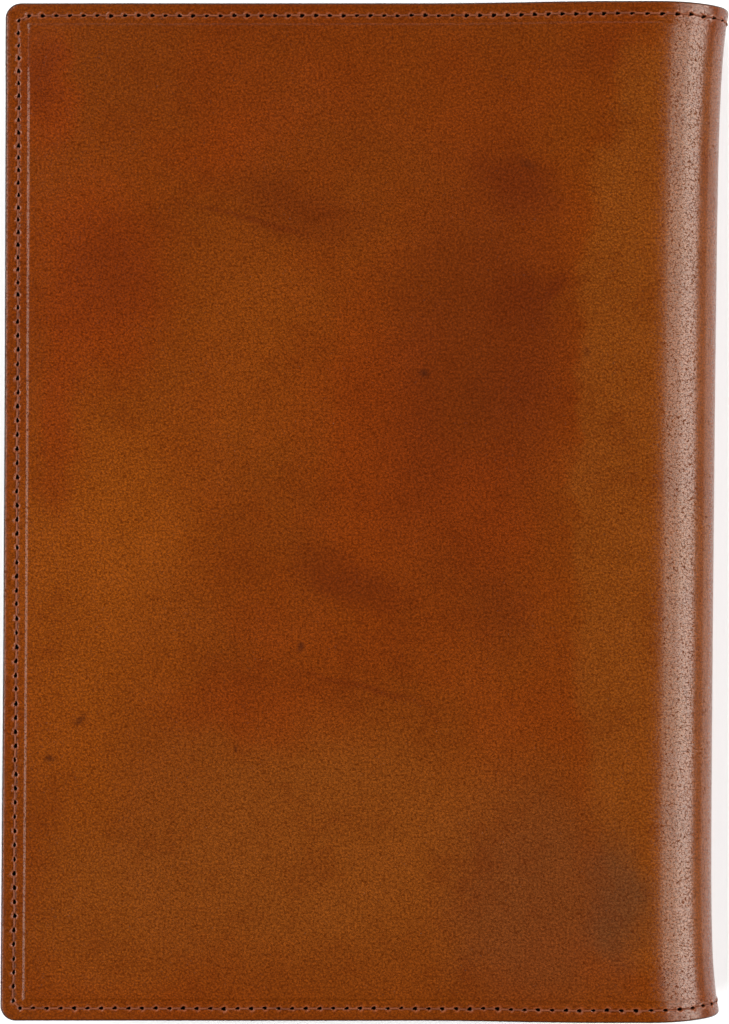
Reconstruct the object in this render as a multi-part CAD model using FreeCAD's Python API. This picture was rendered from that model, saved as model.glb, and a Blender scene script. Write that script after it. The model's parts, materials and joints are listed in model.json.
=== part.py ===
import FreeCAD, Part
import math
import os

# A5 notebook cover in stitched leather, closed and lying on its front cover. Millimetres.
# X runs from the fore-edges (-) to the spine (+), Y up the page and Z up from the table.
# The origin is on the table, under the middle of the closed cover.
#
# One sheet of leather and one sheet of lining run from the front fore-edge, along the
# table, up round the spine and back over the top. Their shape is one path, followed by
# "run", the length along the outer face from the front fore-edge, and by "depth", the
# distance in from that face. The bend is cut into three strips that turn on four
# coupled hinges, because a rigid model can't flex.

# Overall size of the closed cover.
CLOSED_WIDTH = 155.0
HEIGHT = 220.0
CLOSED_THICKNESS = 22.0

# Sheets, from the outside in.
OUTER_THICK = 1.6
LINING_THICK = 0.8
POCKET_THICK = 1.0
BOARD_SLOT = 2.6        # room in a pocket for a hard notebook cover
POCKET_DEPTH = 75.0     # from the fore-edge to the pocket's mouth
CORNER_RADIUS = 3.5

# The seam presses the sheets together in a margin round the three open sides.
MARGIN = 4.6
MARGIN_SINK = 0.4       # how far the margin lies below the outer face
WALL = 1.0              # the pocket's rise out of the margin

# The bend round the spine: a tight arc, then a gentle shoulder onto the back cover.
SHOULDER_RADIUS = 20.0
SHOULDER_TURN = math.radians(40.0)
HINGE_TURN = math.radians(45.0)
HINGES = 4
JOINT_GAP = 0.16

# Lockstitch seam.
SEAM_INSET = 2.8
CORNER_ALONG = 5.0      # the last hole of a long row, from the fore-edge
CORNER_DOWN = 3.9       # the first hole of the fore-edge row, from the head or tail
STITCH_PITCH = 2.95
FORE_EDGE_PITCH = 3.07
THREAD_WIDTH = 0.45
THREAD_THICK = 0.4
THREAD_SUNK = 0.15      # the part of the thread's thickness pulled into the leather
LEG_SETBACK = 0.5       # from a hole's middle to each of the two strands in it
LEG_LENGTH_ALONG = 0.4
LOCK_GAP = 0.1          # between the needle and bobbin strands in a hole

HALF_TURN = math.pi
BEND_TURN = HALF_TURN - SHOULDER_TURN
SHOULDER_RISE = SHOULDER_RADIUS * (1 - math.cos(SHOULDER_TURN))
BEND_RADIUS = (CLOSED_THICKNESS - SHOULDER_RISE) / (1 - math.cos(BEND_TURN))
FORE_X = -CLOSED_WIDTH / 2
HEAD_Y = HEIGHT / 2
BEND_X = CLOSED_WIDTH / 2 - BEND_RADIUS
FRONT_RUN = BEND_X - FORE_X
BEND_RUN = BEND_RADIUS * BEND_TURN
SHOULDER_RUN = SHOULDER_RADIUS * SHOULDER_TURN

# Depths of the sheets inside the margin line. In the margin all but the pocket's top
# lie MARGIN_SINK deeper.
LINING_DEPTH = OUTER_THICK
SLOT_DEPTH = LINING_DEPTH + LINING_THICK
POCKET_TOP = SLOT_DEPTH + BOARD_SLOT
POCKET_INNER = POCKET_TOP + POCKET_THICK
FLANGE_DEPTH = SLOT_DEPTH + MARGIN_SINK


def outward(turn):
    """The outer face's normal after the path has turned through that angle."""
    return FreeCAD.Vector(math.sin(turn), 0, -math.cos(turn))


def heading(turn):
    """The way the path runs at that angle."""
    return FreeCAD.Vector(math.cos(turn), 0, math.sin(turn))


BEND_CENTRE = FreeCAD.Vector(BEND_X, 0, BEND_RADIUS)
SHOULDER_CENTRE = BEND_CENTRE - outward(BEND_TURN) * (SHOULDER_RADIUS - BEND_RADIUS)
BACK_RUN = SHOULDER_CENTRE.x - FORE_X
TOTAL_RUN = FRONT_RUN + BEND_RUN + SHOULDER_RUN + BACK_RUN


def bend_point(turn, depth=0.0):
    """A point on the bend, by the angle that the path has turned through."""
    if turn <= BEND_TURN:
        return BEND_CENTRE + outward(turn) * (BEND_RADIUS - depth)
    return SHOULDER_CENTRE + outward(turn) * (SHOULDER_RADIUS - depth)


def turn_at(run):
    """The angle that the path has turned through at that run."""
    past = run - FRONT_RUN
    if past <= BEND_RUN:
        return max(0.0, past / BEND_RADIUS)
    return min(HALF_TURN, BEND_TURN + (past - BEND_RUN) / SHOULDER_RADIUS)


def run_at(turn):
    """The run at which the path has turned through that angle."""
    tight = min(turn, BEND_TURN)
    return FRONT_RUN + BEND_RADIUS * tight + SHOULDER_RADIUS * (turn - tight)


def place(run, height, depth):
    """The point at that run along the path, that height up the page and that depth."""
    turn = turn_at(run)
    straight = run - min(max(run, FRONT_RUN), TOTAL_RUN - BACK_RUN)
    point = bend_point(turn, depth) + heading(turn) * straight
    return point + FreeCAD.Vector(0, height, 0)


def hinge_axis(first, last):
    """The point about which the leather between two turns unrolls to its true length."""
    start, end = bend_point(first), bend_point(last)
    across = end - start
    angle = last - first
    to_corner = (across.x * math.sin(last) - across.z * math.cos(last)) / math.sin(angle)
    corner = start + heading(first) * to_corner
    tangents = to_corner + (end - corner).Length
    inset = (tangents - run_at(last) + run_at(first)) / (2 * math.tan(angle / 2))
    middle = (first + last) / 2
    return corner - outward(middle) * (inset / math.cos(angle / 2)), middle


def split_turn(axis, middle):
    """The turn at which the leather is cut for a hinge: straight in from its axis."""
    low, high = middle - HINGE_TURN / 2, middle + HINGE_TURN / 2
    while high - low > 1e-9:
        turn = (low + high) / 2
        if (bend_point(turn) - axis).dot(heading(middle)) < 0:
            low = turn
        else:
            high = turn
    return low


def bend_edges(first, last, depth):
    """The edges along the bend at one depth, from one turn to another."""
    stops = [first, last]
    if first < BEND_TURN < last:
        stops.insert(1, BEND_TURN)
    nudge = 1e-9
    edges = []
    for a, b in zip(stops, stops[1:]):
        inner, outer = a + nudge, b - nudge
        points = [bend_point(t, depth) for t in (inner, (a + b) / 2, outer)]
        edges.append(Part.Arc(*points).toShape())
    return edges


def ribbon(first_run, last_run, outer, inner, low, high):
    """A sheet that follows the path between two runs, two depths and two heights."""
    first, last = turn_at(first_run), turn_at(last_run)
    sides = []
    for depth in (outer, inner):
        edges = bend_edges(first, last, depth) if last > first else []
        start, end = place(first_run, 0, depth), place(last_run, 0, depth)
        points = [start, end]
        if edges:
            points = [start, edges[0].Vertexes[0].Point, edges[-1].Vertexes[-1].Point, end]
        if first_run < FRONT_RUN and edges:
            edges.insert(0, Part.makeLine(points[0], points[1]))
        if last_run > TOTAL_RUN - BACK_RUN and edges:
            edges.append(Part.makeLine(points[-2], points[-1]))
        sides.append(edges or [Part.makeLine(start, end)])
    ends = []
    for pick in (0, -1):
        corners = [side[pick].Vertexes[pick].Point for side in sides]
        ends.append(Part.makeLine(*corners))
    edges = Part.__sortEdges__(sides[0] + sides[1] + ends)
    face = Part.Face(Part.Wire(edges))
    face.translate(FreeCAD.Vector(0, low, 0))
    return face.extrude(FreeCAD.Vector(0, high - low, 0))


def round_corners(sheet):
    """The same sheet with its two corners at the fore-edge rounded."""
    corners = []
    for edge in sheet.Edges:
        first, last = edge.Vertexes[0].Point, edge.Vertexes[-1].Point
        upright = abs(first.z - last.z) > 0.1 and abs(first.y - last.y) < 1e-6
        at_corner = abs(first.x - FORE_X) < 1e-6 and abs(abs(first.y) - HEAD_Y) < 1e-6
        if upright and at_corner:
            corners.append(edge)
    return sheet.makeFillet(CORNER_RADIUS, corners) if corners else sheet


def pressed_sheet(first_run, last_run, outer, inner):
    """A sheet whose margin is pressed MARGIN_SINK deeper along the seam."""
    inside_first = first_run + MARGIN if first_run == 0 else first_run
    inside_last = last_run - MARGIN if last_run == TOTAL_RUN else last_run
    low, high = MARGIN - HEAD_Y, HEAD_Y - MARGIN
    whole = ribbon(
        first_run, last_run, outer + MARGIN_SINK, inner + MARGIN_SINK, -HEAD_Y, HEAD_Y
    )
    inside = ribbon(
        inside_first, inside_last, outer - 1, inner + MARGIN_SINK + 1, low, high
    )
    middle = ribbon(inside_first, inside_last, outer, inner, low, high)
    return round_corners(whole).cut(inside).fuse(middle).removeSplitter()


def pocket(back=False):
    """A pocket sewn on three sides, raised off the lining by the board that it holds."""
    mouth = POCKET_DEPTH
    rise = MARGIN - WALL
    flange = round_corners(
        ribbon(0, mouth, FLANGE_DEPTH, FLANGE_DEPTH + POCKET_THICK, -HEAD_Y, HEAD_Y)
    )
    raised = ribbon(rise, mouth, FLANGE_DEPTH, POCKET_INNER, rise - HEAD_Y, HEAD_Y - rise)
    slot = ribbon(
        MARGIN, mouth + 1, SLOT_DEPTH - 1, POCKET_TOP, MARGIN - HEAD_Y, HEAD_Y - MARGIN
    )
    shape = flange.fuse(raised).cut(slot).removeSplitter()
    if back:
        middle = FreeCAD.Vector(0, 0, CLOSED_THICKNESS / 2)
        shape = shape.mirror(middle, FreeCAD.Vector(0, 0, 1))
    return shape


def evenly(start, end, pitch):
    """Hole positions from start to end, as near the pitch as a whole number allows."""
    count = max(1, round(abs(end - start) / pitch))
    return [start + (end - start) * i / count for i in range(count + 1)]


def seam_rows(first_run, last_run):
    """The rows of holes, as (run, height), on the sheets between two runs."""
    seam_y = HEAD_Y - SEAM_INSET
    start = CORNER_ALONG if first_run == 0 else first_run
    end = TOTAL_RUN - CORNER_ALONG if last_run == TOTAL_RUN else last_run
    long_row = evenly(start, end, STITCH_PITCH)
    head = [(run, seam_y) for run in long_row]
    tail = [(run, -seam_y) for run in long_row]
    corner_y = HEAD_Y - CORNER_DOWN
    if first_run == 0:
        fore = [(SEAM_INSET, y) for y in evenly(-corner_y, corner_y, FORE_EDGE_PITCH)]
        return [tail[::-1] + fore + head]
    if last_run == TOTAL_RUN:
        fore_run = TOTAL_RUN - SEAM_INSET
        fore = [(fore_run, y) for y in evenly(corner_y, -corner_y, FORE_EDGE_PITCH)]
        return [head + fore + tail[::-1]]
    return [head, tail]


def stitch(start, end, face_depth, lock_depth):
    """One stitch: a strand on the face and a leg down each hole to the lock."""
    run, height = (start[0] + end[0]) / 2, (start[1] + end[1]) / 2
    inward = outward(turn_at(run)) * -1
    along = place(*end, face_depth) - place(*start, face_depth)
    half = along.Length / 2 - LEG_SETBACK + LEG_LENGTH_ALONG / 2
    inner_half = half - LEG_LENGTH_ALONG
    along.normalize()
    across = along.cross(inward)
    side = 1 if lock_depth > face_depth else -1
    proud = -side * (THREAD_THICK - THREAD_SUNK)
    under = side * THREAD_SUNK
    leg = lock_depth - face_depth
    outline = [
        (-half, proud), (half, proud), (half, leg), (inner_half, leg),
        (inner_half, under), (-inner_half, under), (-inner_half, leg), (-half, leg),
    ]
    origin = place(run, height, face_depth) - across * (THREAD_WIDTH / 2)
    points = [origin + along * s + inward * d for s, d in outline]
    face = Part.Face(Part.makePolygon(points + points[:1]))
    return face.extrude(across * THREAD_WIDTH)


def in_pocket(run):
    return run < POCKET_DEPTH or run > TOTAL_RUN - POCKET_DEPTH


def seam(first_run, last_run):
    """The needle stitches on the outer face and the bobbin stitches inside."""
    needle, bobbin = [], []
    lock = FLANGE_DEPTH / 2 + MARGIN_SINK / 2 + OUTER_THICK / 4
    for row in seam_rows(first_run, last_run):
        for start, end in zip(row, row[1:]):
            middle = (start[0] + end[0]) / 2
            inner_face = FLANGE_DEPTH + (POCKET_THICK if in_pocket(middle) else 0)
            needle.append(stitch(start, end, MARGIN_SINK, lock))
            bobbin.append(stitch(start, end, inner_face, lock + LOCK_GAP))
    return Part.makeCompound(needle), Part.makeCompound(bobbin)


def hinges():
    """Each hinge's axis and the run at which the sheets are cut for it."""
    found = []
    for i in range(HINGES):
        axis, middle = hinge_axis(i * HINGE_TURN, (i + 1) * HINGE_TURN)
        found.append((axis, run_at(split_turn(axis, middle))))
    return found


BODIES = ["front_cover", "spine_front", "spine_middle", "spine_back", "back_cover"]


def nodes():
    """Every piece of the cover, by name."""
    cuts = [run for _, run in hinges()]
    starts, ends = [0] + cuts, cuts + [TOTAL_RUN]
    pieces = {"front_pocket": pocket(), "back_pocket": pocket(back=True)}
    for body, start, end in zip(BODIES, starts, ends):
        first = start + JOINT_GAP / 2 if start else start
        last = end - JOINT_GAP / 2 if end < TOTAL_RUN else end
        pieces[body + "_leather"] = pressed_sheet(first, last, 0, OUTER_THICK)
        pieces[body + "_lining"] = pressed_sheet(first, last, LINING_DEPTH, SLOT_DEPTH)
        needle, bobbin = seam(start, end)
        pieces[body + "_needle_stitches"] = needle
        pieces[body + "_bobbin_stitches"] = bobbin
    return pieces


def main():
    os.makedirs("parts", exist_ok=True)
    for name, shape in nodes().items():
        shape.exportStep(f"parts/{name}.step")
    print(f"unfolded sheet {TOTAL_RUN:.1f} x {HEIGHT:.0f} mm")
    for axis, run in hinges():
        print(f"hinge axis x {axis.x:.3f} z {axis.z:.3f}, cut at run {run:.2f}")


main()
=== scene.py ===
import json
import math

import bpy
import numpy as np
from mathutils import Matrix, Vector
from mathutils.geometry import delaunay_2d_cdt

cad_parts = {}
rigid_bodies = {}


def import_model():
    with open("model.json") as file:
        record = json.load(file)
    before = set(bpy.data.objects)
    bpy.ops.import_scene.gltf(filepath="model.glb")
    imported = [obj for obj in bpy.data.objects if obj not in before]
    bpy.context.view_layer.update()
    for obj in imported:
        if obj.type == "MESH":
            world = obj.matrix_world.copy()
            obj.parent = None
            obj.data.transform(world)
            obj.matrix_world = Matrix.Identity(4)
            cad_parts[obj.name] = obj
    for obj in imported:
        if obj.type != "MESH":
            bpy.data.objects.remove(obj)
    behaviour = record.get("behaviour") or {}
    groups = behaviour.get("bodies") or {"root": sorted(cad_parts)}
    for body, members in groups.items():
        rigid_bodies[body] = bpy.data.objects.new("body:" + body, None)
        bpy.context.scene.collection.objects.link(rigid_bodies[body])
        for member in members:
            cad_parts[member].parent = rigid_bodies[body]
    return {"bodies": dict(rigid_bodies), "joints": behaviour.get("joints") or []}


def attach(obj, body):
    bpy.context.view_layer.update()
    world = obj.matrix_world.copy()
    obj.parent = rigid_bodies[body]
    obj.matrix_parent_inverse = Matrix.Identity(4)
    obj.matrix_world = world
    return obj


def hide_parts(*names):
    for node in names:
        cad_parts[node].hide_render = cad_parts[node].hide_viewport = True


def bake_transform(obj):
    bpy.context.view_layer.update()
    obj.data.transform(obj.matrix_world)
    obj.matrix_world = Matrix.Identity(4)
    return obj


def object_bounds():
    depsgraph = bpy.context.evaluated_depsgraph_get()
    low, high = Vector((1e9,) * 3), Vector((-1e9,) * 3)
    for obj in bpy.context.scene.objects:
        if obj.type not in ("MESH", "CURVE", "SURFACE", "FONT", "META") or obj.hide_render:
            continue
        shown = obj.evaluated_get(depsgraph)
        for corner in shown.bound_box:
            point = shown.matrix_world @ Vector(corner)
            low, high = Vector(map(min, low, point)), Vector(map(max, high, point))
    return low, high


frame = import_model()
cad_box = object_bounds()
scene = bpy.context.scene
rng = np.random.default_rng(11)

# Everything soft is drawn in sheet coordinates, in millimetres: u is the run along the
# outer face from the front fore-edge round the spine to the back fore-edge, v is the
# height up the page, and d is the depth in from the outer face. lay() folds them up.
# The cover's size is the CAD model's.
MM = 0.001
WIDTH, HEIGHT, THICK = (round((high - low) / MM, 2) for low, high in zip(*cad_box))
HEAD, FORE = HEIGHT / 2, -WIDTH / 2
CORNER = 3.4
SHOULDER_R, SHOULDER_TURN = 20.0, math.radians(40.0)
TIGHT = math.pi - SHOULDER_TURN
BEND_R = (THICK - SHOULDER_R * (1 - math.cos(SHOULDER_TURN))) / (1 - math.cos(TIGHT))
BEND_X = WIDTH / 2 - BEND_R
FRONT_RUN, TIGHT_RUN = BEND_X - FORE, BEND_R * TIGHT
SHOULDER_X = BEND_X - math.sin(TIGHT) * (SHOULDER_R - BEND_R)
SHOULDER_Z = BEND_R + math.cos(TIGHT) * (SHOULDER_R - BEND_R)
BACK_RUN = SHOULDER_X - FORE
FLAT_START = FRONT_RUN + TIGHT_RUN + SHOULDER_R * SHOULDER_TURN
RUN = FLAT_START + BACK_RUN
POCKET = 75.0

# Thicknesses of the sheets, and the room for the notebook's board.
OUTER, LINING, POCKET_THICK, BOARD = 1.6, 0.8, 1.0, 2.6
# How deep the margin is pressed, the inset of the line where that ends, and the height
# up the fore-edge where the line fades out.
SINK, FRONT_SINK, SPINE_SINK = 0.2, 0.36, 0.024
STEP, STEP_RUN = 4.48, 0.42
FADE_V, FADE_RUN = 92, 5
# The inset where a pocket starts to rise over the board, and what parts it from the
# lining outside that.
RISE, RISE_RUN = 3.5, 1.9
GAP = 0.02
# The seam's inset, and its stitch lengths.
SEAM, PITCH, FORE_PITCH = 2.8, 2.95, 3.07
# How many of the back fore-edge's stitches, from the head, are short, and how short
# they are beside the others.
CROWDED, CROWDING = 23, 0.88
# The strand's radius, its twist in radians to a millimetre, and how deep it goes down.
THREAD_R, TWIST, LEG = 0.2, 4.2, 1.1

# Across the back cover: where the spine starts to flare, and where the dip that lies
# toward the fore-edge ends. Each fades over its run. The cover counts as the back one
# past this turn.
FLARE_X, FLARE_RUN = 52, 24
DIP, DIP_X, DIP_RUN = 2.0, 12, 42
BACK_TURN = 3.0


def ease(x):
    """0 up to x = 0 and 1 from x = 1, smoothly."""
    x = np.clip(x, 0, 1)
    return x * x * (3 - 2 * x)


def bump(x, width):
    return np.exp(-((x / width) ** 2))


# ---------------------------------------------------------------- how the cover lies


def turn_at(u):
    """How far the cover has turned round the spine at a run."""
    past = u - FRONT_RUN
    tight = np.maximum(past, 0) / BEND_R
    shoulder = np.minimum(math.pi, TIGHT + (past - TIGHT_RUN) / SHOULDER_R)
    return np.where(past <= TIGHT_RUN, tight, shoulder)


def run_at(turn):
    """The run at which the cover has turned so far round the spine."""
    tight = min(turn, TIGHT)
    return FRONT_RUN + BEND_R * tight + SHOULDER_R * (turn - tight)


def flare_at(v):
    """How far the spine stands out toward its two ends."""
    head, tail = np.maximum(HEAD - v, 0), np.maximum(HEAD + v, 0)
    flare = 1.5 * np.exp(-head / 9) + 0.9 * np.exp(-head / 30)
    return flare + 1.7 * np.exp(-tail / 8) + 0.5 * np.exp(-tail / 20)


def lay(u, v, d):
    """The places, in metres, of points of the sheets on the closed cover."""
    u, v, d = np.broadcast_arrays(*(np.asarray(a, float) for a in (u, v, d)))
    turn = turn_at(u)
    tight = turn <= TIGHT
    radius = np.where(tight, BEND_R, SHOULDER_R) - d
    straight = u - np.clip(u, FRONT_RUN, FLAT_START)
    x = np.where(tight, BEND_X, SHOULDER_X) + np.sin(turn) * radius
    x = x + np.cos(turn) * straight
    z = np.where(tight, BEND_R, SHOULDER_Z) - np.cos(turn) * radius
    z = z + np.sin(turn) * straight
    # The handmade cover is a little out of square, and its spine ends flare.
    across = np.clip((x - FORE) / WIDTH, 0, 1)
    fore = -0.45 + 0.00544 * v - 0.000019 * v * v
    spine = -0.5 + 0.0088 * v
    at = x
    x = x + fore + (spine - fore) * across
    x = x + flare_at(v) * ease((at - FLARE_X) / FLARE_RUN)
    # The back cover has a hump beside the spine and dips a little to the fore-edge.
    back = turn > BACK_TURN
    dip = DIP * (1 - ease((at - DIP_X) / DIP_RUN))
    wave = 0.1 * np.sin(at * 0.071 + v * 0.043 + 0.6) * np.sin(v * 0.052 - at * 0.024)
    z = z - np.where(back, dip - wave * (1 - ease((at - 30) / 20)), 0)
    return np.stack([x, v, z], axis=-1) * MM


# ---------------------------------------------------------------- the seam


def spread(start, end, pitch):
    """Places from start to end, evenly spaced and about a pitch apart."""
    count = max(1, round(abs(end - start) / pitch))
    return np.linspace(start, end, count + 1)


def crowded(start, end, pitch, many, share):
    """Like spread, but that many of the first steps are only a share of the others."""
    count = round(abs(end - start) / pitch)
    steps = np.where(np.arange(count) < many, share, 1.0)
    run = np.concatenate([[0], np.cumsum(steps)])
    return start + (end - start) * run / run[-1]


def seam_holes():
    """The pricked holes, in order all round the sheet: head, back, tail, front."""
    row, fore_row = HEAD - SEAM, SEAM + 0.1
    # The end holes stand 4 to 5 mm from each corner, as they came out by hand.
    head_u = spread(5.0, RUN - 5.2, PITCH)
    tail_u = spread(RUN - 4.2, 5.0, PITCH)
    back_pitch = FORE_PITCH - 0.14
    back_v = crowded(HEAD - 3.9, -HEAD + 4.5, back_pitch, CROWDED, CROWDING)
    front_v = spread(-HEAD + 3.9, HEAD - 3.9, FORE_PITCH)
    rows = [
        np.stack([head_u, np.full(len(head_u), row)], 1),
        np.stack([np.full(len(back_v), RUN - fore_row), back_v], 1),
        np.stack([tail_u, np.full(len(tail_u), -row)], 1),
        np.stack([np.full(len(front_v), fore_row), front_v], 1),
    ]
    holes = np.concatenate(rows)
    return holes + rng.normal(0, 0.05, holes.shape)


HOLES = seam_holes()
NEXT = np.roll(HOLES, -1, axis=0)
ALONG = NEXT - np.roll(HOLES, 1, axis=0)
ALONG = ALONG / np.linalg.norm(ALONG, axis=1)[:, None]
LEAN = rng.uniform(-0.4, 0.4, len(HOLES))
SIZE = rng.uniform(0.8, 1.12, len(HOLES))


def inset(u, v):
    """The distance in from the sheet's edge, with round corners at the fore-edges."""
    qx = np.abs(u - RUN / 2) - (RUN / 2 - CORNER)
    qy = np.abs(v) - (HEAD - CORNER)
    outside = np.hypot(np.maximum(qx, 0), np.maximum(qy, 0))
    return CORNER - outside - np.minimum(np.maximum(qx, qy), 0)


HOLE_LONG, HOLE_WIDE = 0.45, 0.29
# The inset past which the seam leaves no marks, and how many points are done at once.
SEAM_REACH, BLOCK = 6.5, 4000


def seam_marks(u, v):
    """For each point: the groove along the seam, the holes, and their raised rims."""
    low, high = u.min() - 4, u.max() + 4
    groove, hole, rim = np.zeros(len(u)), np.zeros(len(u)), np.zeros(len(u))
    near = np.nonzero(inset(u, v) < SEAM_REACH)[0]
    pick = np.nonzero((HOLES[:, 0] > low) & (HOLES[:, 0] < high))[0]
    for part in np.array_split(near, max(1, len(near) // BLOCK)):
        point = np.stack([u[part], v[part]], 1)[:, None, :]
        start, run = HOLES[pick][None], (NEXT - HOLES)[pick][None]
        along = ((point - start) * run).sum(2) / (run * run).sum(2)
        off = point - start - run * np.clip(along, 0, 1)[..., None]
        groove[part] = bump(np.hypot(off[..., 0], off[..., 1]).min(1), 0.34)
        gap = point - start
        e = ALONG[pick][None]
        s = (gap * e).sum(2)
        c = gap[..., 0] * -e[..., 1] + gap[..., 1] * e[..., 0]
        s, c = s + c * LEAN[pick], c - s * LEAN[pick]
        size = SIZE[pick]
        # A teardrop: the awl's slot is wider where the thread goes down.
        wide = (HOLE_WIDE + 0.08 * np.tanh(s * 6)) * size
        far = np.hypot(s / (HOLE_LONG * size), c / wide).min(1)
        hole[part] = np.exp(-(far**4))
        rim[part] = bump(far - 1.75, 0.45)
    return groove, hole, rim


# ---------------------------------------------------------------- faces of the sheets


def sink(u, t):
    """How deep the seam's margin is pressed: hardly at all round the spine, where there
    is no board, and deeper on the front cover, which lies on its own stitches."""
    front = FRONT_SINK * ease((FRONT_RUN + 7 - u) / 7)
    back = SINK * ease((u - FLAT_START + 8) / 12)
    return (SPINE_SINK + front + back) * (1 - np.clip((t - STEP) / STEP_RUN, 0, 1))


def step_inset(u, v):
    """The inset that the pressed line follows: a little wider at the fore-edges."""
    return np.minimum(np.minimum(u, RUN - u) - 0.36, HEAD - np.abs(v))


def round_off(t, radius):
    """How far a rounded edge drops, at a distance in from it."""
    x = np.clip((radius - t) / radius, 0, 1)
    return radius * (1 - np.sqrt(1 - x * x))


# Each shown face gives its depth and then the seam's marks, and each back its depth.


def outer_face(u, v):
    t = inset(u, v)
    groove, hole, rim = seam_marks(u, v)
    pressed = sink(u, step_inset(u, v))
    # On the fore-edge the line fades out short of the head.
    beside = ease((HEAD - np.abs(v) - np.minimum(u, RUN - u)) / 2)
    pressed = pressed * (1 - 0.8 * ease((v - FADE_V) / FADE_RUN) * beside)
    d = pressed + round_off(t, 0.55) - 0.05 * bump(t - 1.3, 0.6)
    d = d + 0.08 * groove + 0.8 * hole - 0.11 * rim
    wear = np.sin(u * 0.31) * np.sin(v * 0.23 + u * 0.11)
    d = d + 0.03 * wear * bump(t - 1.5, 2)
    return np.where(u < FRONT_RUN, np.maximum(d, 0), d), hole, groove, rim


def outer_back(u, v):
    return sink(u, step_inset(u, v)) + OUTER - round_off(inset(u, v), 0.3)


def lining_face(u, v):
    t = inset(u, v)
    groove, hole, rim = seam_marks(u, v)
    d = sink(u, step_inset(u, v)) + OUTER + LINING - round_off(t, 0.3)
    return d - 0.1 * groove - 0.4 * hole + 0.05 * rim, hole, groove, rim


def lining_back(u, v):
    t = inset(u, v)
    return sink(u, step_inset(u, v)) + OUTER + 0.01 + round_off(t, 0.12)


def pocket_rise(u, v):
    """The depth under a pocket: on the lining at the seam, and then over the board."""
    rise = ease((inset(u, v) - RISE) / RISE_RUN)
    pressed = sink(u, 0.0)
    return pressed + OUTER + LINING + GAP + (BOARD - pressed) * rise


def pocket_face(u, v):
    t = inset(u, v)
    groove, hole, rim = seam_marks(u, v)
    d = pocket_rise(u, v) + POCKET_THICK
    d = d - round_off(np.minimum(t, mouth_inset(u)), 0.4)
    return d - 0.12 * groove - 0.5 * hole + 0.06 * rim, hole, groove, rim


def pocket_back(u, v):
    t = np.minimum(inset(u, v), mouth_inset(u))
    return pocket_rise(u, v) + round_off(t, 0.15)


def mouth_inset(u):
    """The distance in from a pocket's open edge."""
    return POCKET - np.minimum(u, RUN - u)


# ---------------------------------------------------------------- meshing


def lattice(us, vs):
    """Every pairing of two lists of places."""
    grid = np.meshgrid(us, vs, indexing="ij")
    return np.stack([g.ravel() for g in grid], 1)


# Insets of the points in the seam's band, closest at the holes and the pressed line.
BAND = np.array(
    [0, 0.08, 0.18, 0.32, 0.5, 0.75, 1.1, 1.5, 1.85, 2.08, 2.28, 2.46, 2.62, 2.78]
    + [2.94, 3.1, 3.28, 3.48, 3.75, 4.05, 4.35, 4.48, 4.6, 4.72, 4.84, 4.92]
    + [5.05, 5.2, 5.32, 5.5, 5.9, 6.6]
)
COARSE_BAND = np.array([0, 0.3, 1.5, 3.5, 4.2, 4.9, 6.6])
FLAT_STEP, BEND_STEP = 2.4, 0.6
# Points to a stitch along the seam.
DENSITY, UNSEEN_DENSITY, INNER_DENSITY = 12, 8, 7
# The band's width, and distances from a cut at which there are extra points.
REACH = 6.6
BESIDE_CUT = np.array([0.05, 0.12, 0.22, 0.34, 0.5])
# The rears take their grain this far off, so that they show another part of the hide.
REAR_HIDE = 40


def sheet_points(ua, ub, density):
    """Sheet points between two runs, sparse in the middle. In the seam's band there are
    density points to a stitch, or with density 0 only a few."""
    band = BAND if density else COARSE_BAND
    long_step = PITCH / density if density else 2.0
    start_edge, end_edge = ua <= 0, ub >= RUN
    lo = ua + REACH if start_edge else ua
    hi = ub - REACH if end_edge else ub
    bend = (min(max(FRONT_RUN - 3, lo), hi), max(min(FLAT_START + 3, hi), lo))
    middle_u = np.concatenate([
        spread(lo, bend[0], FLAT_STEP),
        spread(bend[0], bend[1], BEND_STEP),
        spread(bend[1], hi, FLAT_STEP),
    ])
    middle_u = np.unique(np.round(middle_u, 6))
    middle_v = spread(-HEAD + REACH, HEAD - REACH, FLAT_STEP)
    ends = [lo + BESIDE_CUT * (not start_edge), hi - BESIDE_CUT * (not end_edge)]
    ends = np.concatenate(ends)
    middle_u = np.append(middle_u, ends)
    points = [lattice(middle_u, middle_v[1:-1])]
    long_u = np.append(spread(lo, hi, long_step), ends)
    for side in (-1, 1):
        points.append(lattice(long_u, side * (HEAD - band)))
    for is_edge, at, way in ((start_edge, ua, 1), (end_edge, ub, -1)):
        if not is_edge:
            points.append(np.stack([np.full(len(middle_v), at), middle_v], 1))
            continue
        rows_v = spread(-HEAD + REACH, HEAD - REACH, long_step)
        points.append(lattice(at + way * band, rows_v))
        square = spread(0, REACH, 0.25 if density else 1.0)
        for side in (-1, 1):
            corner = lattice(at + way * square, side * (HEAD - square))
            points.append(corner[inset(*corner.T) > 0.6])
            straight = spread(CORNER, REACH, long_step)
            for t in band[band < 0.6]:
                angle = np.linspace(0, math.pi / 2, 22 if density else 10)
                arc_u = at + way * (CORNER - (CORNER - t) * np.cos(angle))
                arc_v = side * (HEAD - CORNER + (CORNER - t) * np.sin(angle))
                points.append(np.stack([arc_u, arc_v], 1))
                points.append(lattice(at + way * straight, [side * (HEAD - t)]))
                points.append(lattice([at + way * t], side * (HEAD - straight)))
    return np.unique(np.round(np.concatenate(points), 5), axis=0)


def on_edge(points, ua, ub):
    """Whether each point is on the piece's outline."""
    u, v = points.T
    return (inset(u, v) < 1e-3) | (np.abs(u - ua) < 1e-4) | (np.abs(u - ub) < 1e-4)


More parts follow.
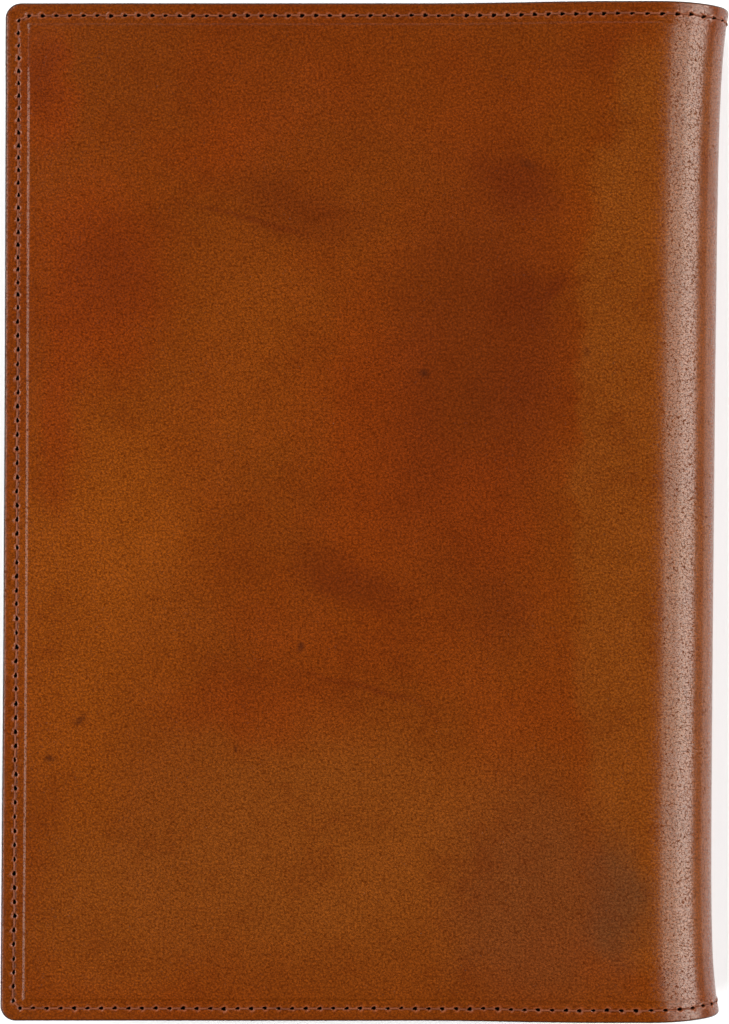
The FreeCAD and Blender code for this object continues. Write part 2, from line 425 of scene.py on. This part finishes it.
def triangles(points):
    """The faces between points of the sheet, all wound the same way."""
    made = delaunay_2d_cdt([Vector(p) for p in points], [], [], 0, 1e-7)
    source = [ids[0] for ids in made[3]]
    faces = np.array([[source[i] for i in face] for face in made[2]])
    a, b, c = (points[faces[:, i]] for i in range(3))
    area = (b[:, 0] - a[:, 0]) * (c[:, 1] - a[:, 1])
    area = area - (b[:, 1] - a[:, 1]) * (c[:, 0] - a[:, 0])
    faces = faces[np.abs(area) > 1e-7]
    area = area[np.abs(area) > 1e-7]
    faces[area < 0] = faces[area < 0][:, ::-1]
    return faces


def make_mesh(name, places, faces, values, material, sharp=None):
    """A smooth mesh with these point attributes. sharp marks the points on a cut."""
    mesh = bpy.data.meshes.new(name)
    mesh.vertices.add(len(places))
    mesh.vertices.foreach_set("co", np.ascontiguousarray(places, np.float32).ravel())
    sizes = np.array([len(f) for f in faces])
    flat = np.fromiter((i for f in faces for i in f), np.int32)
    mesh.loops.add(len(flat))
    mesh.loops.foreach_set("vertex_index", flat)
    mesh.polygons.add(len(sizes))
    starts = np.concatenate([[0], np.cumsum(sizes)[:-1]])
    mesh.polygons.foreach_set("loop_start", starts.astype(np.int32))
    mesh.update(calc_edges=True)
    mesh.polygons.foreach_set("use_smooth", np.ones(len(sizes), bool))
    for key, data in values.items():
        kind = "FLOAT_VECTOR" if data.ndim == 2 else "FLOAT"
        attribute = mesh.attributes.new(key, kind, "POINT")
        field = "vector" if data.ndim == 2 else "value"
        attribute.data.foreach_set(field, data.astype(np.float32).ravel())
    if sharp is not None:
        ends = np.zeros(len(mesh.edges) * 2, np.int32)
        mesh.edges.foreach_get("vertices", ends)
        ends = ends.reshape(-1, 2)
        marks = mesh.attributes.new("sharp_edge", "BOOLEAN", "EDGE")
        marks.data.foreach_set("value", sharp[ends].all(axis=1))
    mesh.materials.append(material)
    mesh.validate()
    thing = bpy.data.objects.new(name, mesh)
    scene.collection.objects.link(thing)
    return thing


def make_sheet(name, ua, ub, kind, density):
    """A closed sheet: its shown face, its plain back and the wall round its edge."""
    face, back, inner, material = kind
    front = sheet_points(ua, ub, density)
    edge = on_edge(front, ua, ub)
    rear_middle = sheet_points(ua, ub, 0)
    rear_middle = rear_middle[~on_edge(rear_middle, ua, ub)]
    rear = np.concatenate([front[edge], rear_middle])
    front_faces, rear_faces = triangles(front), triangles(rear)
    d_front, hole, groove, rim = face(*front.T)
    d_rear = back(*rear.T)
    places = np.concatenate([lay(*front.T, d_front), lay(*rear.T, d_rear)])
    # The wall joins the two faces along the outline, walked round the middle.
    outline = np.nonzero(edge)[0]
    middle = np.array([(ua + ub) / 2, 0])
    around = np.argsort(np.arctan2(*(front[outline] - middle).T[::-1]))
    top, low = outline[around], len(front) + around
    wall = np.stack([top, low, np.roll(low, -1), np.roll(top, -1)], 1)
    if inner:
        rear_faces = rear_faces[:, ::-1]
    else:
        front_faces, wall = front_faces[:, ::-1], wall[:, ::-1]
    faces = [*front_faces, *(rear_faces + len(front)), *wall]
    both = np.concatenate([front, rear])
    t = inset(*both.T)
    if face is pocket_face:
        t = np.minimum(t, mouth_inset(both[:, 0]))
    is_rear = np.arange(len(both)) >= len(front)
    pad = np.zeros(len(rear))
    at = both[:, 0]
    cut = (np.abs(at - ua) < 1e-4) | (np.abs(at - ub) < 1e-4)
    cut &= (at > 1e-3) & (at < RUN - 1e-3)
    values = {
        "flat": np.column_stack([both, np.where(is_rear, REAR_HIDE, 0)]),
        "hole": np.concatenate([hole, pad]),
        "groove": np.concatenate([groove, pad]),
        "rim": np.concatenate([rim, pad]),
        "press": bump(step_inset(*both.T) - STEP - STEP_RUN / 2, 0.3),
        "edge": np.where(is_rear, (t < 0.1) * 1.0, 1 - ease((t - 0.22) / 0.3)),
        "margin": np.exp(-np.maximum(t, 0) / 0.8),
    }
    return make_mesh(name, places, faces, values, material, sharp=cut)


def needle_depth(u):
    return sink(u, SEAM)


def bobbin_depth(u):
    over_pocket = (u < POCKET) | (u > RUN - POCKET)
    return sink(u, SEAM) + OUTER + LINING + np.where(over_pocket, POCKET_THICK + GAP, 0)


def make_thread(name, ua, ub, depth, way, material):
    """The stitches between two runs, each a twisted strand from hole to hole. depth is
    the face that they lie on, and way is -1 where that face is the outer one."""
    middle = (HOLES[:, 0] + NEXT[:, 0]) / 2
    pick = np.nonzero((middle >= ua) & (middle < ub))[0]
    start, end = HOLES[pick], NEXT[pick]
    half = np.linalg.norm(end - start, axis=1) / 2
    e = (end - start) / half[:, None] / 2
    s = np.array([-0.98, -0.9, -0.83, -0.76, -0.69, -0.61, -0.5, -0.3, -0.1])
    s = np.concatenate([s, -s[::-1]])
    rings, sides = len(s), 9
    angle = np.arange(sides) / sides * 2 * math.pi
    lift = rng.uniform(-0.03, 0.03, len(pick))[:, None]
    turn = rng.uniform(0, 6, len(pick))[:, None, None]
    # Toward each hole the strand goes down.
    dip = np.maximum(np.abs(s) - 0.55, 0) / 0.45
    centre = depth(middle[pick])[:, None] + way * (0.05 + lift - LEG * dip**1.8)
    along = (start[:, None, :] + end[:, None, :]) / 2
    along = along + e[:, None, :] * (s[None, :, None] * half[:, None, None])
    bow = rng.uniform(-0.05, 0.05, len(pick))[:, None] * (1 - s**2)
    twist = s[None, :, None] * half[:, None, None] * TWIST + turn
    lobes = 1 + 0.17 * np.cos(3 * (angle[None, None, :] - twist))
    radius = THREAD_R * lobes * (1 - 0.15 * dip)[None, :, None]
    side = radius * np.cos(angle) + bow[..., None]
    up = radius * np.sin(angle)
    u = along[..., 0, None] - e[:, None, None, 1] * side
    v = along[..., 1, None] + e[:, None, None, 0] * side
    places = lay(u, v, centre[..., None] + way * up).reshape(-1, 3)
    faces = []
    for k in range(len(pick)):
        base = k * rings * sides
        for i in range(rings - 1):
            for j in range(sides):
                a, b = base + i * sides + j, base + i * sides + (j + 1) % sides
                faces.append([a, b, b + sides, a + sides])
        faces.append([base + j for j in range(sides)][::-1])
        last = base + (rings - 1) * sides
        faces.append([last + j for j in range(sides)])
    if way < 0:
        faces = [f[::-1] for f in faces]
    flat = np.stack([u, v, np.broadcast_to(angle, u.shape)], -1).reshape(-1, 3)
    # How far the strand has gone down, which drives its painted shade at the holes.
    down = np.broadcast_to(dip[None, :, None], u.shape).ravel()
    return make_mesh(name, places, faces, {"flat": flat, "down": down}, material)


# ---------------------------------------------------------------- materials


class Nodes:
    """A short way to write a material's nodes."""

    def __init__(self, name):
        self.material = bpy.data.materials.new(name)
        self.material.use_nodes = True
        self.tree = self.material.node_tree
        self.shader = self.tree.nodes["Principled BSDF"]

    def add(self, kind, values=(), **settings):
        node = self.tree.nodes.new("ShaderNode" + kind)
        for key, value in settings.items():
            setattr(node, key, value)
        for key, value in dict(values).items():
            self.put(node.inputs[key], value)
        return node

    def put(self, socket, value):
        if isinstance(value, bpy.types.NodeSocket):
            self.tree.links.new(value, socket)
        elif isinstance(value, tuple) and socket.type == "RGBA" and len(value) == 3:
            socket.default_value = (*value, 1)
        else:
            socket.default_value = value

    def math(self, operation, a, b):
        return self.add("Math", {0: a, 1: b}, operation=operation).outputs[0]

    def vector(self, operation, a, b=(0, 0, 0), out=0):
        node = self.add("VectorMath", {0: a, 1: b}, operation=operation)
        return node.outputs[out]

    def scaled(self, vector, factor):
        node = self.add("VectorMath", {0: vector, "Scale": factor}, operation="SCALE")
        return node.outputs[0]

    def grey(self, value):
        return self.add("CombineColor", {0: value, 1: value, 2: value}).outputs[0]

    def attribute(self, name, out="Fac"):
        return self.add("Attribute", attribute_name=name).outputs[out]

    def noise(self, at, scale, detail=2.0, rough=0.5, out="Fac"):
        values = {"Vector": at, "Scale": scale, "Detail": detail, "Roughness": rough}
        return self.add("TexNoise", values).outputs[out]

    def drift(self, at, scale, detail, rough):
        """A noise vector about zero."""
        colour = self.noise(at, scale, detail, rough, out="Color")
        return self.vector("SUBTRACT", colour, (0.5, 0.5, 0.5))

    def cells(self, at, scale, feature):
        node = self.add("TexVoronoi", {"Vector": at, "Scale": scale}, feature=feature)
        return node.outputs["Distance"]

    def range(self, value, low, high, to_low=0.0, to_high=1.0):
        values = {"Value": value, 1: low, 2: high, 3: to_low, 4: to_high}
        node = self.add("MapRange", values, interpolation_type="SMOOTHSTEP")
        return node.outputs[0]

    def mix(self, factor, a, b, blend="MIX"):
        node = self.add("Mix", data_type="RGBA", blend_type=blend)
        self.put(node.inputs[0], factor)
        self.put(node.inputs[6], a)
        self.put(node.inputs[7], b)
        return node.outputs[2]

    def turned(self, at, degrees):
        values = {"Vector": at, "Angle": math.radians(degrees)}
        return self.add("VectorRotate", values).outputs[0]

    def spot(self, at, middle, size, tilt, core):
        """1 at a place on the sheet, falling from its core to 0 at its full size. The
        huge third size leaves the depth out."""
        off = self.vector("SUBTRACT", at, (*middle, 0))
        if tilt:
            off = self.turned(off, tilt)
        off = self.vector("DIVIDE", off, (*size, 1e6))
        far = self.vector("LENGTH", off, out=1)
        return self.range(far, 1.0, core)


def dim(colour, share):
    return tuple(c * share for c in colour)


CREASE_SLOPE = -28
# Painted shade: the pricked holes are painted near black.
HOLE_SHADE = (0.003, 0.0015, 0.001)
EDGE_PAINT = (0.016, 0.0065, 0.004), (0.036, 0.014, 0.008)


def leather(name, shades, grain, shine, sheen=(1, 0.9, 0.85), marks=()):
    """Pebbled leather with burnished edges. Colours are linear, grain is in mm, shine
    is the roughness between the creases and sheen tints the reflections."""
    base, red, dark = shades["base"], shades["red"], shades["dark"]
    n = Nodes(name)
    flat = n.attribute("flat", "Vector")
    hole, groove = n.attribute("hole"), n.attribute("groove")
    edge = n.attribute("edge")
    warp = n.scaled(n.drift(flat, 0.9, 2, 0.5), 0.9)
    # The creases are stretched along a line that slopes across the hide.
    turned = n.turned(n.vector("ADD", flat, warp), CREASE_SLOPE)
    pebbled = n.vector("MULTIPLY", turned, (0.62, 1.42, 1))
    crease = n.cells(pebbled, 1 / grain, "DISTANCE_TO_EDGE")
    dashes = n.range(n.noise(flat, 1.5, 2), 0.38, 0.58, 0.4, 1)
    low = n.math("MULTIPLY", n.range(crease, 0.15, 0.02), dashes)
    fine = n.noise(flat, 2.1, 2, 0.6)
    pore = n.cells(flat, 0.85, "F1")
    pore = n.range(pore, 0.13, 0.05)
    chosen = n.range(n.noise(flat, 0.11, 2), 0.4, 0.62)
    pore = n.math("MULTIPLY", pore, chosen)

    broad = n.noise(flat, 0.026, 4, 0.6)
    middle = n.noise(n.vector("ADD", flat, (90, 40, 7)), 0.06, 4, 0.6)
    small = n.noise(flat, 0.35, 3, 0.6)
    colour = n.mix(n.range(broad, 0.4, 0.66, 0, 0.4), base, red)
    cloud = n.math("MULTIPLY", middle, 0.65)
    cloud = n.math("ADD", cloud, n.math("MULTIPLY", small, 0.35))
    drift = n.drift(flat, 0.07, 4, 0.6)
    warped = n.vector("ADD", flat, n.scaled(drift, 16.0))
    slight = n.vector("ADD", flat, n.scaled(drift, 3.0))
    for shade, place, size, amount, tilt, core in marks:
        at = slight if min(size) < 3 else warped
        mark = n.math("MULTIPLY", n.spot(at, place, size, tilt, core), amount)
        colour = n.mix(mark, colour, shades[shade])
    colour = n.mix(n.range(cloud, 0.52, 0.3, 0, 0.4), colour, dark)
    bright = n.range(cloud, 0.5, 0.72, 1.0, 1.12)
    colour = n.mix(1.0, colour, n.grey(bright), "MULTIPLY")
    speck = n.range(fine, 0.3, 0.7, 0.66, 1.34)
    colour = n.mix(1.0, colour, n.grey(speck), "MULTIPLY")
    # Painted shade: the creases are painted darker, partly the grain's own colour and
    # partly shade in them, and the pores are painted darker as shade in their pits.
    colour = n.mix(n.math("MULTIPLY", low, 0.7), colour, dim(dark, 0.5))
    colour = n.mix(n.math("MULTIPLY", pore, 0.4), colour, dim(dark, 0.25))
    burnish = n.math("MULTIPLY", n.attribute("margin"), 0.4)
    colour = n.mix(burnish, colour, dim(base, 0.65))
    # Painted shade along the seam's groove.
    colour = n.mix(n.math("MULTIPLY", groove, 0.12), colour, dark)
    # Painted highlight: the raised rims round the holes are painted lighter, as glints.
    rim_glint = tuple(c * 2.2 + 0.03 for c in base)
    colour = n.mix(n.math("MULTIPLY", n.attribute("rim"), 0.45), colour, rim_glint)
    # Painted shade: the holes are painted near black.
    colour = n.mix(n.range(hole, 0.1, 0.4, 0, 0.98), colour, HOLE_SHADE)
    paint = n.mix(n.noise(flat, 0.8), *EDGE_PAINT)
    colour = n.mix(edge, colour, paint)
    n.put(n.shader.inputs["Base Color"], colour)

    rough = n.math("MULTIPLY", n.math("SUBTRACT", cloud, 0.5), 0.15)
    rough = n.math("ADD", shine, rough)
    rough = n.math("ADD", rough, n.math("MULTIPLY", low, 0.12))
    rough = n.math("ADD", rough, n.math("MULTIPLY", hole, 0.4))
    n.put(n.shader.inputs["Roughness"], rough)
    gloss = n.range(hole, 0.1, 0.5, 0.5, 0)
    gloss = n.math("MULTIPLY", gloss, n.range(low, 0.1, 1, 1, 0))
    gloss = n.math("MULTIPLY", gloss, n.range(edge, 0, 1, 1, 0.4))
    gloss = n.math("MULTIPLY", gloss, n.range(n.attribute("press"), 0, 1, 1, 0.7))
    n.put(n.shader.inputs["Specular IOR Level"], gloss)
    n.put(n.shader.inputs["Specular Tint"], sheen)

    height = n.math("MULTIPLY", low, -0.008)
    height = n.math("ADD", height, n.math("MULTIPLY", fine, 0.005))
    height = n.math("ADD", height, n.math("MULTIPLY", small, 0.02))
    height = n.math("SUBTRACT", height, n.math("MULTIPLY", pore, 0.02))
    keep = n.math("SUBTRACT", 1.0, n.math("MULTIPLY", edge, 0.75))
    height = n.math("MULTIPLY", height, keep)
    bumps = n.add("Bump", {"Height": height, "Strength": 1.0, "Distance": MM})
    n.put(n.shader.inputs["Normal"], bumps.outputs[0])
    return n.material


def waxed_thread(name, pale, deep):
    """Three-ply waxed thread, painted darker where it goes down: painted shade toward the
    holes.
    """
    n = Nodes(name)
    flat = n.attribute("flat", "Vector")
    tone = n.noise(flat, 0.25, 3)
    fibre = n.noise(n.vector("MULTIPLY", flat, (1, 1, 0.6)), 9.0, 3, 0.65)
    colour = n.mix(n.range(tone, 0.35, 0.65), pale, deep)
    colour = n.mix(n.range(fibre, 0.62, 0.35, 0, 0.5), colour, dim(deep, 0.4))
    # Painted shade: the strand is painted near black as it goes down into a hole.
    down = n.range(n.attribute("down"), 0.12, 0.42)
    colour = n.mix(down, colour, (0.003, 0.0012, 0.001))
    n.put(n.shader.inputs["Base Color"], colour)
    n.put(n.shader.inputs["Specular IOR Level"], n.range(down, 0, 1, 0.45, 0.0))
    n.put(n.shader.inputs["Specular Tint"], (1, 0.6, 0.45))
    n.put(n.shader.inputs["Roughness"], n.range(fibre, 0.3, 0.7, 0.42, 0.62))
    bumps = n.add("Bump", {"Height": fibre, "Strength": 0.6, "Distance": 0.00004})
    n.put(n.shader.inputs["Normal"], bumps.outputs[0])
    return n.material


def sheet_u(x):
    """The run at a place x across the back cover, where it's flat."""
    return FLAT_START + SHOULDER_X - x


# Shade, place across and up the back cover, size, strength, tilt and core of each mark:
# the hide's redder and darker clouds, paler stretches, small spots and faint veins, with
# a paler strip beside the spine that is painted light where the cover rises there, and
# grey patches low toward the spine that are a painted sheen.
MARKS = [
    ("dark", (0, 104), (95, 48), 0.22, 0, 0.2),
    ("orange", (-52, -8), (28, 50), 0.85, 0, 0.1),
    ("orange", (-62, -48), (18, 34), 0.6, 0, 0.1),
    ("orange", (-71, -12), (10, 48), 0.6, 0, 0.2),
    ("orange", (-24, 32), (22, 40), 0.5, 0, 0.1),
    ("olive", (-8, -72), (66, 40), 0.9, 0, 0.3),
    ("olive", (-54, -86), (28, 28), 0.7, 0, 0.2),
    ("red", (-57, 49), (22, 32), 0.9, 0, 0.2),
    ("red", (-65, 22), (7, 32), 0.6, 0, 0.2),
    ("dark", (-55, 52), (17, 18), 0.45, 0, 0.1),
    ("red", (-32, 78), (24, 13), 0.5, 10, 0.1),
    ("red", (4, 12), (24, 46), 0.7, 0, 0.2),
    ("red", (-24, -42), (28, 13), 0.5, 0, 0.1),
    ("dark", (24, 30), (29, 62), 0.62, -4, 0.3),
    ("red", (26, 0), (19, 22), 0.5, 0, 0.1),
    ("dark", (30, -22), (14, 14), 0.4, 0, 0.1),
    ("dark", (52, 97), (17, 9), 0.35, 0, 0.1),
    # Painted light: a paler strip beside the spine, where the cover rises toward it.
    ("olive", (68, 4), (24.5, 116), 0.8, 0, 0.84),
    ("dark", (32, 72), (14, 10), 0.7, -25, 0.1),
    ("dark", (34, 45), (9, 8), 0.7, 0, 0.1),
    ("dark", (41, 48), (7, 2.6), 0.8, 45, 0.1),
    ("dark", (31, 25), (12, 14), 0.4, 0, 0.1),
    ("dark", (-14, 66), (26, 9), 0.42, -14, 0.1),
    ("dark", (-4, -14), (21, 9), 0.62, -28, 0.1),
    ("red", (-68, 92), (9, 22), 0.8, 0, 0.2),
    ("dark", (-69, 96), (6, 13), 0.5, 0, 0.1),
    # Painted sheen: grey patches low toward the spine.
    ("grey", (38, -84), (28, 38), 0.45, 0, 0.2),
    ("grey", (56, -86), (10, 22), 0.85, 0, 0.2),
    ("spot", (13, 30), (1.8, 1.5), 0.8, 0, 0.1),
    ("spot", (-13, -29), (1.2, 1.6), 0.8, 0, 0.1),
    ("spot", (-61, -45), (2.6, 1.3), 0.6, 35, 0.1),
    ("spot", (-67, -53), (1.5, 1.5), 0.7, 0, 0.1),
    ("spot", (-27, -51), (0.8, 1.5), 0.6, 0, 0.1),
    ("spot", (35, 75), (2.8, 1.5), 0.5, -30, 0.1),
    ("spot", (48, 34), (1.2, 1.8), 0.5, 0, 0.1),
    ("dark", (-24, 63), (24, 1.2), 0.5, -14, 0.1),
    ("dark", (1, -38), (26, 1.2), 0.45, -14, 0.1),
]
MARKS = [(mark[0], (sheet_u(mark[1][0]), mark[1][1]), *mark[2:]) for mark in MARKS]

TAN = {
    "base": (0.141, 0.0278, 0.0017),
    "red": (0.166, 0.0240, 0.0013),
    "dark": (0.093, 0.0138, 0.0017),
    "orange": (0.192, 0.0430, 0.0026),
    "olive": (0.161, 0.0395, 0.0038),
    # The grey shade is a painted sheen.
    "grey": (0.102, 0.0315, 0.0086),
    "spot": (0.041, 0.0086, 0.0022),
}
LINING_BROWN = {
    "base": (0.21, 0.08, 0.028),
    "red": (0.18, 0.064, 0.024),
    "dark": (0.105, 0.036, 0.013),
}
POCKET_BROWN = {
    "base": (0.18, 0.056, 0.0145),
    "red": (0.155, 0.04, 0.011),
    "dark": (0.08, 0.021, 0.0056),
}
tan = leather("outer_leather", TAN, 0.5, 0.17, (1, 0.95, 0.86), MARKS)
lining_leather = leather("lining_leather", LINING_BROWN, 0.42, 0.62)
pocket_leather = leather("pocket_leather", POCKET_BROWN, 0.5, 0.5)
NEEDLE_BROWN = (0.225, 0.060, 0.022), (0.13, 0.030, 0.010)
BOBBIN_BROWN = (0.23, 0.068, 0.026), (0.13, 0.034, 0.014)
needle_thread = waxed_thread("needle_thread", *NEEDLE_BROWN)
bobbin_thread = waxed_thread("bobbin_thread", *BOBBIN_BROWN)

# Each kind of sheet: its two faces, whether the shown one looks into the cover, and its
# leather.
OUTER_KIND = outer_face, outer_back, False, tan
LINING_KIND = lining_face, lining_back, True, lining_leather
POCKET_KIND = pocket_face, pocket_back, True, pocket_leather

# ---------------------------------------------------------------- the pieces


def clear_of_holes(u):
    """The place within a millimetre of a run that is farthest from any hole."""
    tries = u + np.linspace(-1, 1, 41)
    gaps = np.abs(HOLES[:, 0] - tries[:, None]).min(axis=1)
    return float(tries[gaps.argmax()])


# The bodies run from the front cover to the back one, with a hinge from each to the next.
# The sheets are split between the hinges, one piece to each share of the spine.
BODIES = list(frame["bodies"])
FOLD = frame["joints"][0]["range_deg"][1]
FOLDED = [math.radians(FOLD * count) for count in range(len(BODIES))]
SPLITS = [0, *(clear_of_holes(run_at(turn)) for turn in FOLDED[1:-1]), RUN]
PARTS = ["front", "spine_low", "spine_high", "back"]
# In metres, how far a narrow piece's share of the spine is pulled in at each end.
SLACK = 0.0011


def bend_piece(thing, index, depth):
    """Bakes the piece's place into its mesh. Where its share of the spine starts and
    stops, pulled in by the slack for the two narrow pieces, is worked out but not used."""
    turns = FOLDED[index : index + 2]
    start, end = (Vector(lay(run_at(turn), 0, depth).tolist()) for turn in turns)
    slack = (end - start).normalized() * SLACK
    if index in (1, 2):
        start, end = start + slack, end - slack
    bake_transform(thing)


def covers(index):
    """The CAD bodies whose nodes a piece stands for."""
    return BODIES[3:] if index == 3 else [BODIES[index]]


for index, part in enumerate(PARTS):
    ua, ub = SPLITS[index], SPLITS[index + 1]
    density = UNSEEN_DENSITY if index == 0 else DENSITY
    outer = make_sheet(f"{part}_leather", ua, ub, OUTER_KIND, density)
    inner = make_sheet(f"{part}_lining", ua, ub, LINING_KIND, INNER_DENSITY)
    needle = f"{part}_needle_thread"
    needle = make_thread(needle, ua, ub, needle_depth, -1, needle_thread)
    bobbin = f"{part}_bobbin_thread"
    bobbin = make_thread(bobbin, ua, ub, bobbin_depth, 1, bobbin_thread)
    for thing, suffix, slot, depth in (
        (outer, "leather", "outer_leather", 1.0),
        (inner, "lining", "lining_leather", 2.2),
        (needle, "needle_stitches", "needle_thread", 0.3),
        (bobbin, "bobbin_stitches", "bobbin_thread", 3.0),
    ):
        bend_piece(thing, index, depth)
        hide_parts(*(f"{body}_{suffix}" for body in covers(index)))

for part, ua, ub in (("front", 0, POCKET), ("back", RUN - POCKET, RUN)):
    name = f"{part}_pocket_leather"
    pocket = make_sheet(name, ua, ub, POCKET_KIND, INNER_DENSITY)
    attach(pocket, f"{part}_cover")
    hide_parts(f"{part}_pocket")

# ---------------------------------------------------------------- floor, light, camera

bpy.ops.mesh.primitive_plane_add(size=6, location=(0, 0, 0))
floor = bpy.context.object
floor.name = "floor"
paper = Nodes("floor_paper")
paper.put(paper.shader.inputs["Base Color"], (0.95, 0.95, 0.95))
paper.put(paper.shader.inputs["Roughness"], 0.9)
floor.data.materials.append(paper.material)


def softbox(name, place, aim, width, height, power):
    """A white area light of that many watts, turned toward a place. Sizes in metres."""
    light = bpy.data.lights.new(name, "AREA")
    light.shape = "RECTANGLE"
    light.size, light.size_y = width, height
    light.energy = power
    thing = bpy.data.objects.new(name, light)
    scene.collection.objects.link(thing)
    thing.location = place
    toward = Vector(aim) - Vector(place)
    thing.rotation_euler = toward.to_track_quat("-Z", "Y").to_euler()


softbox("right_softbox", (1.05, 0.0, 0.8), (0.06, 0, 0), 1.7, 0.96, 20)
softbox("right_low_softbox", (1.1, 0.0, 0.55), (0.06, 0, 0), 1.7, 0.5, 10)
softbox("left_softbox", (-1.1, 0.1, 0.8), (0, 0, 0), 2.4, 1.4, 45)
softbox("head_softbox", (0, 1.25, 0.8), (0, 0, 0), 1.2, 0.5, 2)
world = bpy.data.worlds.new("studio")
world.use_nodes = True
world.node_tree.nodes["Background"].inputs[0].default_value = (1, 1, 1, 1)
world.node_tree.nodes["Background"].inputs[1].default_value = 0.02
scene.world = world

# The field's height is taken at the back cover's flat face, FLAT_Z above the table.
DISTANCE, FIELD, FLAT_Z = 0.445, 0.221, 0.02
SENSOR = 24
camera = bpy.data.cameras.new("camera")
camera.sensor_fit = "VERTICAL"
camera.sensor_height = SENSOR
camera.lens = SENSOR * DISTANCE / FIELD
camera.clip_start = 0.01
seat = bpy.data.objects.new("camera", camera)
seat.location = (0, 0, FLAT_Z + DISTANCE)
scene.collection.objects.link(seat)
scene.camera = seat
scene.view_settings.view_transform = "Standard"
